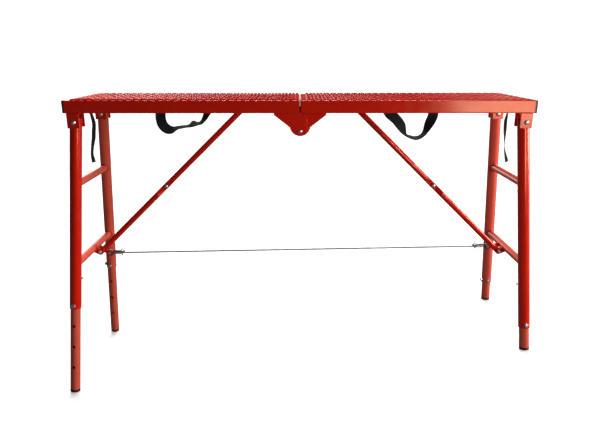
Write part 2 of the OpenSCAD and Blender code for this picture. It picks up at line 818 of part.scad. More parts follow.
cable_ferrules();
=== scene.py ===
"""Looks of a folding sawhorse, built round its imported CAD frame.

Everything is in metres. The deck leans with the leg settings, so most pieces are laid
out in the deck's own frame (X along it, Y across it, Z square to it, origin in the
middle of the rails' top) and carried to the floor's frame by one matrix.
"""

import json
import math

import bmesh
import bpy
from mathutils import Matrix, Vector


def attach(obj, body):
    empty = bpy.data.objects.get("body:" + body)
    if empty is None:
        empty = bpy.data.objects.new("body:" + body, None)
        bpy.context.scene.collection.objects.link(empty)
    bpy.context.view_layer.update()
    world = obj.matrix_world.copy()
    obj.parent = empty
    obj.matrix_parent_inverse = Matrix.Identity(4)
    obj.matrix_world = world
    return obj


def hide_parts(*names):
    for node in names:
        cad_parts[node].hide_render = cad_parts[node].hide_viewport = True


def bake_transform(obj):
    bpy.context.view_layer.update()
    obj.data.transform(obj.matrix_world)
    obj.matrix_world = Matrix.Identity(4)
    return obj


bl_info = {
    "name": "Folding Sawhorse",
    "version": (1, 0, 0),
    "blender": (4, 5, 0),
    "location": "View3D > Sidebar > Sawhorse",
    "description": "Builds the looks of a folding steel sawhorse round its frame",
    "category": "Object",
}

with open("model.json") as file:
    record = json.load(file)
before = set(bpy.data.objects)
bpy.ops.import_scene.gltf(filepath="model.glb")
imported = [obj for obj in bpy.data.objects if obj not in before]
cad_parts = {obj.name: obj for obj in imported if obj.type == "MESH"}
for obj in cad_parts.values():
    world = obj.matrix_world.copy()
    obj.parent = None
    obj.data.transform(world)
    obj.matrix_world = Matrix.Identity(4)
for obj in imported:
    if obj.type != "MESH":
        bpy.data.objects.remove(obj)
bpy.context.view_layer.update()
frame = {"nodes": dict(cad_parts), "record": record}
CAD_NODES = frame["nodes"]
SIDES = ("left", "right")
MM = 0.001


def deck_matrix():
    """Carries the deck's own frame to the floor's, from the two deck-top faces."""
    mounts = {m["name"]: m for m in frame["record"]["mounts"]}
    left = Vector(mounts["left_deck_top"]["pos_m"])
    right = Vector(mounts["right_deck_top"]["pos_m"])
    up = Vector(mounts["left_deck_top"]["axis"]).normalized()
    along = (right - left).normalized()
    across = up.cross(along).normalized()
    middle = (left + right) / 2
    m = Matrix((along, across, along.cross(across))).transposed().to_4x4()
    return Matrix.Translation(middle) @ m


DECK = deck_matrix()
DECK_INV = DECK.inverted()


def node_points(name):
    """A CAD node's vertices, in the deck's frame."""
    return [DECK_INV @ v.co for v in CAD_NODES[name].data.vertices]


def deck_box(name):
    """A CAD node's lowest and highest corner in the deck's frame."""
    pts = node_points(name)
    low = Vector(min(p[i] for p in pts) for i in range(3))
    high = Vector(max(p[i] for p in pts) for i in range(3))
    return low, high


# ---------------------------------------------------------------- modelling helpers


def deselect():
    if bpy.context.mode != "OBJECT":
        bpy.ops.object.mode_set(mode="OBJECT")
    bpy.ops.object.select_all(action="DESELECT")


def activate(obj):
    deselect()
    obj.select_set(True)
    bpy.context.view_layer.objects.active = obj
    return obj


def started(name):
    """Names the primitive that was just added."""
    obj = bpy.context.object
    obj.name = name
    obj.data.name = name
    return obj


def settle(obj, matrix=None):
    """Carries a piece by a matrix and leaves its object at the origin, unturned."""
    activate(obj)
    if matrix is not None:
        obj.matrix_world = matrix @ obj.matrix_world
    bpy.ops.object.transform_apply(location=True, rotation=True, scale=True)
    return obj


def modify(obj, kind, name, **values):
    """Adds a modifier, sets it and applies it."""
    activate(obj)
    mod = obj.modifiers.new(name, kind)
    for key, value in values.items():
        setattr(mod, key, value)
    bpy.ops.object.modifier_apply(modifier=mod.name)
    return obj


def join(name, pieces):
    deselect()
    for p in pieces:
        p.select_set(True)
    bpy.context.view_layer.objects.active = pieces[0]
    if len(pieces) > 1:
        bpy.ops.object.join()
    return started(name)


def smooth(obj, degrees=35):
    activate(obj)
    bpy.ops.object.shade_smooth_by_angle(angle=math.radians(degrees))
    return obj


def clean(obj, gap=0.00002):
    """Merges doubles and turns all faces outwards."""
    activate(obj)
    bpy.ops.object.mode_set(mode="EDIT")
    bpy.ops.mesh.select_all(action="SELECT")
    bpy.ops.mesh.remove_doubles(threshold=gap)
    bpy.ops.mesh.normals_make_consistent(inside=False)
    bpy.ops.object.mode_set(mode="OBJECT")
    return obj


def select_faces(obj, test):
    """In edit mode, selects only the faces whose middle and normal pass the test."""
    bpy.ops.mesh.select_mode(type="FACE")
    bpy.ops.mesh.select_all(action="DESELECT")
    bm = bmesh.from_edit_mesh(obj.data)
    bm.normal_update()
    for f in bm.faces:
        if test(f.calc_center_median(), f.normal):
            f.select_set(True)
    bmesh.update_edit_mesh(obj.data)


def curve_points(points, steps):
    """A smooth line through the points, with this many steps between two of them."""
    pts = [Vector(p) for p in points]
    ext = [2 * pts[0] - pts[1]] + pts + [2 * pts[-1] - pts[-2]]
    out = []
    for i in range(1, len(ext) - 2):
        a, b, c, d = ext[i - 1], ext[i], ext[i + 1], ext[i + 2]
        for k in range(steps):
            t = k / steps
            slope = (c - a) * t
            bend = (2 * a - 5 * b + 4 * c - d) * t * t
            twist = (3 * b - a - 3 * c + d) * t**3
            out.append((2 * b + slope + bend + twist) / 2)
    out.append(pts[-1])
    return out


# ---------------------------------------------------------------- material helpers


class Tree:
    """A node tree with short ways to add and wire nodes."""

    def __init__(self, tree):
        self.tree = tree
        self.x = -1400

    def add(self, kind, label="", **settings):
        node = self.tree.nodes.new(kind)
        node.location = (self.x, 0)
        self.x += 60
        if label:
            node.label = label
        for key, value in settings.items():
            setattr(node, key, value)
        return node

    def wire(self, out, into):
        self.tree.links.new(out, into)
        return out

    def feed(self, node, **inputs):
        """Sets or wires inputs: by their names, or i0, i1... by their places."""
        for key, value in inputs.items():
            numbered = key[0] == "i" and key[1:].isdigit()
            socket = node.inputs[int(key[1:]) if numbered else key.replace("_", " ")]
            if hasattr(value, "is_output"):
                self.wire(value, socket)
            else:
                socket.default_value = value
        return node

    def maths(self, operation, a, b=0.0, clamp=False):
        node = self.add("ShaderNodeMath", operation=operation, use_clamp=clamp)
        self.feed(node, i0=a, i1=b)
        return node.outputs[0]

    def wave(self, phase):
        """A sine of the phase, between 0 and 1."""
        sine = self.maths("SINE", phase)
        return self.maths("ADD", self.maths("MULTIPLY", sine, 0.5), 0.5)

    def span(self, value, low, high, to_low=0.0, to_high=1.0):
        node = self.add("ShaderNodeMapRange", clamp=True)
        self.feed(node, Value=value, From_Min=low, From_Max=high, To_Min=to_low, To_Max=to_high)
        return node.outputs["Result"]

    def blend(self, factor, a, b, kind="MIX"):
        node = self.add("ShaderNodeMix", data_type="RGBA", blend_type=kind)
        self.feed(node, i0=factor, i6=a, i7=b)
        return node.outputs[2]

    def noise(self, vector, scale, detail=3.0, rough=0.5):
        node = self.add("ShaderNodeTexNoise")
        self.feed(node, Vector=vector, Scale=scale, Detail=detail, Roughness=rough)
        return node.outputs["Fac"]


def colour(r, g, b):
    return (r, g, b, 1.0)


def new_group(name, inputs, outputs):
    """A shader node group with named inputs and outputs."""
    tree = bpy.data.node_groups.new(name, "ShaderNodeTree")
    for label, kind, value in inputs:
        s = tree.interface.new_socket(label, in_out="INPUT", socket_type=kind)
        if value is not None:
            s.default_value = value
    for label, kind in outputs:
        tree.interface.new_socket(label, in_out="OUTPUT", socket_type=kind)
    t = Tree(tree)
    return t, t.add("NodeGroupInput").outputs, t.add("NodeGroupOutput").inputs


def use_group(t, name, **inputs):
    node = t.add("ShaderNodeGroup")
    node.node_tree = bpy.data.node_groups[name]
    return t.feed(node, **inputs)


def edge_wear_group():
    """White on convex edges, broken up by noise."""
    t, i, o = new_group(
        "Edge wear",
        [
            ("Radius", "NodeSocketFloat", 0.0012),
            ("Breakup Scale", "NodeSocketFloat", 120.0),
            ("Amount", "NodeSocketFloat", 0.5),
        ],
        [("Mask", "NodeSocketFloat")],
    )
    place = t.add("ShaderNodeTexCoord").outputs["Object"]
    bevel = t.add("ShaderNodeBevel", samples=4)
    t.wire(i["Radius"], bevel.inputs["Radius"])
    face = t.add("ShaderNodeNewGeometry").outputs["Normal"]
    dot = t.add("ShaderNodeVectorMath", operation="DOT_PRODUCT")
    t.feed(dot, i0=bevel.outputs["Normal"], i1=face)
    edge = t.span(dot.outputs["Value"], 0.995, 0.86)
    speck = t.span(t.noise(place, i["Breakup Scale"], 4.0, 0.65), 0.42, 0.62)
    t.wire(t.maths("MULTIPLY", t.maths("MULTIPLY", edge, speck), i["Amount"]), o["Mask"])


def dust_group():
    """White where fine dust settles: faces that look up, in soft patches."""
    t, i, o = new_group(
        "Dust",
        [("Patch Scale", "NodeSocketFloat", 14.0), ("Amount", "NodeSocketFloat", 0.4)],
        [("Mask", "NodeSocketFloat")],
    )
    place = t.add("ShaderNodeTexCoord").outputs["Object"]
    sep = t.add("ShaderNodeSeparateXYZ")
    t.wire(t.add("ShaderNodeNewGeometry").outputs["Normal"], sep.inputs[0])
    up = t.span(sep.outputs["Z"], 0.35, 0.95)
    patch = t.span(t.noise(place, i["Patch Scale"], 5.0, 0.6), 0.35, 0.75)
    t.wire(t.maths("MULTIPLY", t.maths("MULTIPLY", up, patch), i["Amount"]), o["Mask"])


def powder_group():
    """Powder coat: slow colour drift, fine speckle and an orange-peel skin."""
    t, i, o = new_group(
        "Powder coat",
        [
            ("Colour", "NodeSocketColor", colour(0.7, 0.05, 0.01)),
            ("Deep Colour", "NodeSocketColor", colour(0.5, 0.02, 0.01)),
            ("Peel Scale", "NodeSocketFloat", 420.0),
        ],
        [("Colour", "NodeSocketColor"), ("Roughness", "NodeSocketFloat"), ("Height", "NodeSocketFloat")],
    )
    place = t.add("ShaderNodeTexCoord").outputs["Object"]
    drift = t.span(t.noise(place, 7.0, 4.0, 0.6), 0.3, 0.7)
    fine = t.noise(place, 900.0, 2.0, 0.5)
    mixed = t.blend(t.maths("MULTIPLY", drift, 0.55), i["Colour"], i["Deep Colour"])
    speck = t.span(fine, 0.25, 0.75, 0.94, 1.04)
    t.wire(t.blend(1.0, mixed, speck, "MULTIPLY"), o["Colour"])
    t.wire(t.span(t.noise(place, 40.0, 3.0, 0.5), 0.3, 0.7, 0.15, 0.23), o["Roughness"])
    peel = t.noise(place, i["Peel Scale"], 2.0, 0.5)
    wave = t.noise(place, 60.0, 2.0, 0.5)
    t.wire(t.maths("ADD", peel, t.maths("MULTIPLY", wave, 0.8)), o["Height"])


def plating_group():
    """Zinc plating: cloudy spangle, light scratches and dull spots."""
    t, i, o = new_group(
        "Plating",
        [
            ("Colour", "NodeSocketColor", colour(0.75, 0.75, 0.73)),
            ("Dull Colour", "NodeSocketColor", colour(0.5, 0.5, 0.5)),
            ("Cloud Scale", "NodeSocketFloat", 160.0),
        ],
        [("Colour", "NodeSocketColor"), ("Roughness", "NodeSocketFloat"), ("Height", "NodeSocketFloat")],
    )
    place = t.add("ShaderNodeTexCoord").outputs["Object"]
    cloud = t.noise(place, i["Cloud Scale"], 5.0, 0.65)
    t.wire(t.blend(t.span(cloud, 0.35, 0.7), i["Colour"], i["Dull Colour"]), o["Colour"])
    t.wire(t.span(cloud, 0.3, 0.7, 0.22, 0.42), o["Roughness"])
    t.wire(t.noise(place, 1500.0, 3.0, 0.6), o["Height"])


def weave_group():
    """Webbing from its own UV map, in metres: ribs across, yarns along, frayed fibres; paler on the
    raised ribs as a painted highlight and darker in the grooves as painted shade.
    """
    t, i, o = new_group(
        "Webbing weave",
        [
            ("Colour", "NodeSocketColor", colour(0.03, 0.03, 0.035)),
            ("Light Colour", "NodeSocketColor", colour(0.12, 0.12, 0.13)),
            ("Rib Pitch", "NodeSocketFloat", 0.0016),
        ],
        [("Colour", "NodeSocketColor"), ("Height", "NodeSocketFloat")],
    )
    uv = t.add("ShaderNodeUVMap", uv_map="UVMap").outputs[0]
    sep = t.add("ShaderNodeSeparateXYZ")
    t.wire(uv, sep.inputs[0])
    yarn_pitch = 0.0021
    turn = 2 * math.pi
    ribs = t.maths("DIVIDE", sep.outputs["Y"], i["Rib Pitch"])
    across = t.wave(t.maths("MULTIPLY", ribs, turn))
    along = t.wave(t.maths("MULTIPLY", sep.outputs["X"], turn / yarn_pitch))
    rib = t.maths("MULTIPLY", across, along)
    fibre = t.noise(uv, 2600.0, 2.0, 0.6)
    height = t.maths("ADD", rib, t.maths("MULTIPLY", fibre, 0.35))
    t.wire(height, o["Height"])
    patch = t.span(t.noise(uv, 60.0, 3.0, 0.5), 0.3, 0.7, 0.55, 1.0)
    # the colour follows the height: painted highlight on the raised ribs, painted shade in the grooves,
    # varied at random by the patches
    crest_highlight = t.maths("MULTIPLY", t.span(height, 0.1, 1.2), patch)
    t.wire(t.blend(crest_highlight, i["Colour"], i["Light Colour"]), o["Colour"])


def grain_group():
    """Moulded plastic: spark-eroded grain and faint flow marks."""
    t, i, o = new_group(
        "Moulded grain",
        [
            ("Colour", "NodeSocketColor", colour(0.03, 0.02, 0.02)),
            ("Rubbed Colour", "NodeSocketColor", colour(0.1, 0.08, 0.08)),
            ("Grain Scale", "NodeSocketFloat", 1400.0),
        ],
        [("Colour", "NodeSocketColor"), ("Roughness", "NodeSocketFloat"), ("Height", "NodeSocketFloat")],
    )
    place = t.add("ShaderNodeTexCoord").outputs["Object"]
    grain = t.noise(place, i["Grain Scale"], 3.0, 0.6)
    flow = t.noise(place, 35.0, 4.0, 0.55)
    t.wire(t.blend(t.span(flow, 0.45, 0.75), i["Colour"], i["Rubbed Colour"]), o["Colour"])
    t.wire(t.span(flow, 0.3, 0.7, 0.45, 0.62), o["Roughness"])
    t.wire(grain, o["Height"])


def finish_material(name, build):
    """A material with one Principled shader that build() wires up."""
    mat = bpy.data.materials.new(name)
    mat.use_nodes = True
    mat.node_tree.nodes.clear()
    t = Tree(mat.node_tree)
    shader = t.add("ShaderNodeBsdfPrincipled")
    out = t.add("ShaderNodeOutputMaterial")
    t.wire(shader.outputs[0], out.inputs["Surface"])
    build(t, shader)
    return mat


def bump(t, shader, height, strength, distance, edge=0.0):
    """A bump over edges that the shader rounds off by the edge radius."""
    node = t.add("ShaderNodeBump")
    t.feed(node, Height=height, Strength=strength, Distance=distance)
    if edge:
        rounded = t.add("ShaderNodeBevel", samples=6)
        rounded.inputs["Radius"].default_value = edge
        t.wire(rounded.outputs[0], node.inputs["Normal"])
    t.wire(node.outputs[0], shader.inputs["Normal"])


DUST = (0.72, 0.30, 0.20)
PRIMER = (0.30, 0.20, 0.17)


def powder_coat(name, paint, deep, wear=0.35, dust=0.12):
    """Powder coat, dusty on top and worn through to the primer on its edges."""

    def build(t, shader):
        skin = use_group(t, "Powder coat", Colour=colour(*paint), Deep_Colour=colour(*deep))
        worn = use_group(t, "Edge wear", Amount=wear)
        dusty = use_group(t, "Dust", Amount=dust)
        base = t.blend(dusty.outputs["Mask"], skin.outputs["Colour"], colour(*DUST))
        base = t.blend(worn.outputs["Mask"], base, colour(*PRIMER))
        t.wire(base, shader.inputs["Base Color"])
        matt = t.maths("MULTIPLY", dusty.outputs["Mask"], 0.4)
        rough = t.maths("ADD", skin.outputs["Roughness"], matt, clamp=True)
        t.wire(rough, shader.inputs["Roughness"])
        shader.inputs["Coat Weight"].default_value = 0.08
        shader.inputs["Coat Roughness"].default_value = 0.08
        shader.inputs["Specular IOR Level"].default_value = 0.85
        shader.inputs["Specular Tint"].default_value = colour(1.0, 0.46, 0.26)
        bump(t, shader, skin.outputs["Height"], 0.12, 0.0004, edge=0.0014)

    return finish_material(name, build)


def plated(name, bright, dull, cloud=160.0, spread=0.0):
    """Plated metal; spread makes it duller."""

    def build(t, shader):
        skin = use_group(t, "Plating", Colour=colour(*bright), Dull_Colour=colour(*dull))
        t.feed(skin, Cloud_Scale=cloud)
        t.wire(skin.outputs["Colour"], shader.inputs["Base Color"])
        t.wire(t.maths("ADD", skin.outputs["Roughness"], spread), shader.inputs["Roughness"])
        shader.inputs["Metallic"].default_value = 1.0
        bump(t, shader, skin.outputs["Height"], 0.1, 0.0001, edge=0.0008)

    return finish_material(name, build)


def moulded(name, base, rubbed):
    """Moulded plastic, paler where it was rubbed."""

    def build(t, shader):
        skin = use_group(t, "Moulded grain", Colour=colour(*base), Rubbed_Colour=colour(*rubbed))
        t.wire(skin.outputs["Colour"], shader.inputs["Base Color"])
        t.wire(skin.outputs["Roughness"], shader.inputs["Roughness"])
        bump(t, shader, skin.outputs["Height"], 0.15, 0.0002)

    return finish_material(name, build)


def woven(name, base, light, pitch):
    """Webbing with ribs at this pitch."""

    def build(t, shader):
        skin = use_group(t, "Webbing weave", Colour=colour(*base), Light_Colour=colour(*light))
        t.feed(skin, Rib_Pitch=pitch)
        t.wire(skin.outputs["Colour"], shader.inputs["Base Color"])
        shader.inputs["Roughness"].default_value = 0.8
        shader.inputs["Specular IOR Level"].default_value = 0.3
        shader.inputs["Sheen Weight"].default_value = 0.06
        shader.inputs["Sheen Roughness"].default_value = 0.4
        bump(t, shader, skin.outputs["Height"], 0.6, 0.0006)

    return finish_material(name, build)


def coat(obj, name):
    obj.data.materials.clear()
    obj.data.materials.append(bpy.data.materials[name])


# ---------------------------------------------------------------- sizes and colours


def length(name, text, value):
    return bpy.props.FloatProperty(
        name=name, description=text, default=value, unit="LENGTH", subtype="DISTANCE", precision=4
    )


def angle(name, text, degrees):
    value = math.radians(degrees)
    return bpy.props.FloatProperty(
        name=name, description=text, default=value, unit="ROTATION", subtype="ANGLE", precision=4
    )


def shade(name, text, value):
    return bpy.props.FloatVectorProperty(
        name=name, description=text, default=value, size=3, min=0, max=1, subtype="COLOR"
    )


def power(name, text, value):
    return bpy.props.FloatProperty(name=name, description=text, default=value, unit="POWER")


class SawhorseFinishes(bpy.types.PropertyGroup):
    """Colours of the sawhorse's finishes."""

    paint: shade("Paint", "Orange-red powder coat", (0.80, 0.010, 0.0008))
    deep: shade("Deep paint", "Powder coat where it lies thicker", (0.66, 0.004, 0.0006))
    # painted reflection: a paler copy of the paint that stands in for the haze and the white
    # surroundings' reflection on the inner legs, back tubes and rungs
    reflection_pale: shade("Paint with painted reflection", "Coat of the inner legs, back tubes and rungs", (0.84, 0.115, 0.070))
    zinc: shade("Zinc", "Bright zinc plating", (0.80, 0.80, 0.78))
    rope: shade("Wire rope", "Galvanised wire of the stay cable", (0.36, 0.36, 0.37))
    webbing: shade("Webbing", "Black webbing yarn", (0.005, 0.005, 0.006))
    plastic: shade("Plastic", "Black moulded caps", (0.035, 0.008, 0.007))


class SawhorseMesh(bpy.types.PropertyGroup):
    """Sizes of the expanded metal deck."""

    short: length("Diamond short way", "Pitch of the diamonds along the deck", 0.025)
    long: length("Diamond long way", "Pitch of the diamonds across the deck", 0.050)
    width: length("Strand width", "Width of one strand", 0.0064)
    thick: length("Strand thickness", "Thickness of the sheet before it was slit", 0.0016)
    bond: length("Bond", "Straight length where two strands join", 0.009)
    tilt: angle("Strand tilt", "Tilt of the strands out of the sheet", 44)


class SawhorseWebbing(bpy.types.PropertyGroup):
    """Sizes of the handles and tie straps."""

    handle_width: length("Handle width", "Width of the carrying handles' webbing", 0.033)
    thick: length("Webbing thickness", "Thickness of the handles' webbing", 0.0022)
    rib_pitch: length("Rib pitch", "Pitch of the webbing's ribs", 0.0017)
    strap_width: length("Strap width", "Width of the tie straps", 0.0125)


def cable_size():
    """The stay cable's diameter and the height of its eyes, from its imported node."""
    low, high = deck_box("tie_cable")
    end = min(p.x for p in node_points("tie_cable"))
    near = [p.z for p in node_points("tie_cable") if p.x < end + 0.02]
    return high.y - low.y, max(near) - min(near)


class SawhorseCable(bpy.types.PropertyGroup):
    """Sizes of the stay cable."""

    diameter: length("Diameter", "Diameter over the strands", cable_size()[0])
    lay: length("Lay", "Length in which a strand goes once round", 0.036)
    eye: length("Eye radius", "Radius of the eye's middle line", (cable_size()[1] - cable_size()[0]) / 2)


class SawhorseStudio(bpy.types.PropertyGroup):
    """The camera, in the deck's frame, and the strengths of the lights."""

    camera: bpy.props.FloatVectorProperty(
        name="Camera",
        description="Camera's place",
        default=(-0.00934, -1.9024, 0.1413),
        size=3,
        unit="LENGTH",
        subtype="XYZ",
    )
    turn: angle("Turn", "Camera's turn to the right", 0.292)
    dip: angle("Dip", "Camera's tilt down", 15.99)
    lens: bpy.props.FloatProperty(
        name="Lens", description="Focal length in millimetres", default=32.94, min=10, max=200
    )
    key: bpy.props.FloatProperty(
        name="Key light", description="Strength of the overhead light", default=3.5, min=0
    )
    side: power("Side light", "Power of the softbox in front on the right", 14.0)
    wash: power("Side wash", "Power of the far softbox on the right", 220.0)
    back: power("Back light", "Power of the softbox behind", 36.0)


# ---------------------------------------------------------------- operators


class SAWHORSE_OT_finishes(bpy.types.Operator):
    """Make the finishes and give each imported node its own"""

    bl_idname = "sawhorse.finishes"
    bl_label = "Finishes"

    def execute(self, context):
        c = context.scene.sawhorse_finishes
        edge_wear_group()
        dust_group()
        powder_group()
        plating_group()
        weave_group()
        grain_group()
        ribs = context.scene.sawhorse_webbing.rib_pitch
        powder_coat("Frame powder coat", c.paint, c.deep)
        powder_coat("Mesh powder coat", c.paint, c.deep, wear=0.25, dust=0.16)
        # paler copy of the paint: painted reflection and haze for the inner legs, back tubes and rungs
        powder_coat("Powder coat with painted reflection", c.reflection_pale, [0.85 * v for v in c.reflection_pale], dust=0.1)
        plated("Zinc fasteners", c.zinc, [0.62 * v for v in c.zinc])
        plated("Galvanised wire", c.rope, [0.5 * v for v in c.rope], cloud=420.0, spread=0.12)
        moulded("Moulded caps", c.plastic, [0.02 + 2.0 * v for v in c.plastic])
        woven("Black webbing", c.webbing, [4.0 * v for v in c.webbing], ribs)
        by_slot = {
            "orange_paint": "Frame powder coat",
            "zinc": "Zinc fasteners",
            "steel_cable": "Galvanised wire",
            "black_plastic": "Moulded caps",
            "webbing": "Black webbing",
        }
        for sub in frame["record"]["subparts"]:
            # these nodes get the paler coat, a painted reflection
            reflection_pale = any(word in sub["node"] for word in ("inner_leg", "back_leg_tube", "rung"))
            finish = "Powder coat with painted reflection" if reflection_pale else by_slot[sub["material_slot"]]
            coat(CAD_NODES[sub["node"]], finish)
        return {"FINISHED"}


def zigzag_strand(name, sizes, step, pitch, count, sense):
    """One strand across the deck: a tilted flat bar that swings from bond to bond."""
    bpy.ops.mesh.primitive_cube_add(size=1)
    obj = started(name)
    obj.scale = (sizes.width, sizes.bond, sizes.thick)
    bpy.ops.object.transform_apply(scale=True)
    obj.rotation_euler = (0, -sizes.tilt, 0)
    obj.location = (-sense * step / 2, 0, 0)
    bpy.ops.object.transform_apply(location=True, rotation=True)
    slant = pitch / 2 - sizes.bond
    bpy.ops.object.mode_set(mode="EDIT")
    select_faces(obj, lambda c, n: n.y > 0.9)
    for _ in range(2 * count):
        for move in ((sense * step, slant, 0), (0, sizes.bond, 0)):
            bpy.ops.mesh.extrude_region_move(TRANSFORM_OT_translate={"value": move})
        sense = -sense
    bpy.ops.object.mode_set(mode="OBJECT")
    return obj


class SAWHORSE_OT_deck_mesh(bpy.types.Operator):
    """Lay an expanded metal sheet on each half of the deck"""

    bl_idname = "sawhorse.deck_mesh"
    bl_label = "Expanded metal deck"

    # share of a strand's width that it shares with its neighbour at a bond
    overlap = 0.14
    # the sheet's lowest point lies this far below the rails' top
    sunk = 0.0002

    def execute(self, context):
        sizes = context.scene.sawhorse_mesh
        for side in SIDES:
            low, high = deck_box(f"{side}_deck_mesh")
            span_x = high.x - low.x
            span_y = high.y - low.y
            columns = round(span_x / sizes.short)
            rows = round(span_y / sizes.long)
            step = span_x / columns / 2
            pitch = (span_y - sizes.bond) / rows
            # a strand swings by the gap that its neighbours leave, so bonds overlap a little
            swing = step - sizes.width * (1 - self.overlap)
            strands = []
            for k, sense in ((0, 1), (1, -1)):
                s = zigzag_strand("strand", sizes, swing, pitch, rows, sense)
                settle(s, Matrix.Translation((low.x + (k + 0.5) * step, low.y + sizes.bond / 2, 0)))
                strands.append(s)
            sheet = join(f"{side}_expanded_metal", strands)
            modify(
                sheet,
                "ARRAY",
                "Repeat",
                count=columns,
                use_relative_offset=False,
                use_constant_offset=True,
                constant_offset_displace=(2 * step, 0, 0),
            )
            modify(sheet, "BEVEL", "Soft edges", width=0.0003, segments=1)
            drop = min(v.co.z for v in sheet.data.vertices)
            settle(sheet, DECK @ Matrix.Translation((0, 0, -drop - self.sunk)))
            coat(sheet, "Mesh powder coat")
            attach(sheet, f"{side}_deck")
            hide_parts(f"{side}_deck_mesh")
        return {"FINISHED"}


def webbing_strip(name, stations, width, thick, steps=6, columns=6):
    """A strap from a grid: a station is (x, y, z, way across the strap), in metres."""
    centres = curve_points([Vector(s[:3]) for s in stations], steps)
    sides = curve_points([Vector(s[3]).normalized() for s in stations], steps)
    rows = len(centres)
    bpy.ops.mesh.primitive_grid_add(
        x_subdivisions=columns, y_subdivisions=rows - 1, size=1, calc_uvs=True
    )
    obj = started(name)
    run = [0.0]
    for a, b in zip(centres, centres[1:]):
        run.append(run[-1] + (b - a).length)
    place = {}
    for v in obj.data.vertices:
        col = round((v.co.x + 0.5) * columns)
        row = round((v.co.y + 0.5) * (rows - 1))
        place[v.index] = (col, row)
    for v in obj.data.vertices:
        col, row = place[v.index]
        v.co = centres[row] + sides[row].normalized() * width * (col / columns - 0.5)
    uv = obj.data.uv_layers.active.data
    for loop in obj.data.loops:
        col, row = place[loop.vertex_index]
        uv[loop.index].uv = (width * col / columns, run[row])
    modify(obj, "SOLIDIFY", "Thickness", thickness=thick, offset=0)
    soft = {"width": thick * 0.3, "segments": 2, "angle_limit": math.radians(50)}
    modify(obj, "BEVEL", "Selvedge", **soft)
    return smooth(obj, 60)


class SAWHORSE_OT_handles(bpy.types.Operator):
    """Hang a slack webbing handle behind each half's front rail"""

    bl_idname = "sawhorse.handles"
    bl_label = "Carrying handles"

    # air between the rail and the webbing
    gap = 0.0002
    # x and z in millimetres, and the way from the loop's outer edge to its inner edge
    loops = {
        "left": [
            (-446, -14, (1, 0, 0)),
            (-446, -41, (1, 0, 0)),
            (-446, -62, (1, 0.05, 0.05)),
            (-441, -80, (0.9, 0.2, 0.4)),
            (-428, -94, (0.6, 0.5, 0.65)),
            (-412, -97, (0.15, 0.8, 0.6)),
            (-396, -90, (0, 0.95, 0.25)),
            (-380, -87, (0, 0.97, 0.16)),
            (-363, -84, (0, 0.97, 0.16)),
            (-348, -77, (-0.05, 0.86, 0.5)),
            (-332, -77, (-0.1, 0.96, 0.2)),
            (-319, -72, (-0.3, 0.93, 0.2)),
            (-309, -60, (-0.5, 0.84, 0.15)),
            (-301, -46, (-0.7, 0.7, 0.1)),
            (-298, -38, (-0.85, 0.5, 0)),
            (-296, -14, (-1, 0.1, 0)),
        ],
        "right": [
            (268, -14, (0.9, 0, 0.4)),
            (286, -42, (0.7, 0.05, 0.7)),
            (307, -60, (0.7, 0.1, 0.7)),
            (325, -81, (0.75, 0.3, 0.55)),
            (337, -100, (0.55, 0.75, 0.35)),
            (348, -115, (0.15, 0.97, 0.15)),
            (362, -121, (0, 0.97, 0.22)),
            (378, -124, (0, 0.97, 0.22)),
            (392, -120, (-0.05, 0.98, 0.15)),
            (402, -112, (-0.2, 0.98, 0.05)),
            (409, -101, (-0.3, 0.95, 0.08)),
            (414, -88, (-0.55, 0.83, 0.12)),
            (421, -68, (-0.88, 0.45, 0.15)),
            (426, -47, (-1, 0.05, 0)),
            (426, -14, (-1, 0, 0)),
        ],
    }

    def execute(self, context):
        sizes = context.scene.sawhorse_webbing
        for side, line in self.loops.items():
            front = deck_box(f"{side}_handle")[0].y
            clear = sizes.thick / 2 + self.gap
            stations = []
            for x, z, way in line:
                # where the webbing lies flat it hugs the rail, where it is edge-on it clears it
                reach = sizes.handle_width / 2 * abs(Vector(way).normalized().y)
                stations.append((x * MM, front + clear + reach, z * MM, Vector(way)))
            name = f"{side}_webbing_handle"
            strap = webbing_strip(name, stations, sizes.handle_width, sizes.thick)
            settle(strap, DECK)
            coat(strap, "Black webbing")
            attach(strap, f"{side}_deck")
            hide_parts(f"{side}_handle")
        return {"FINISHED"}


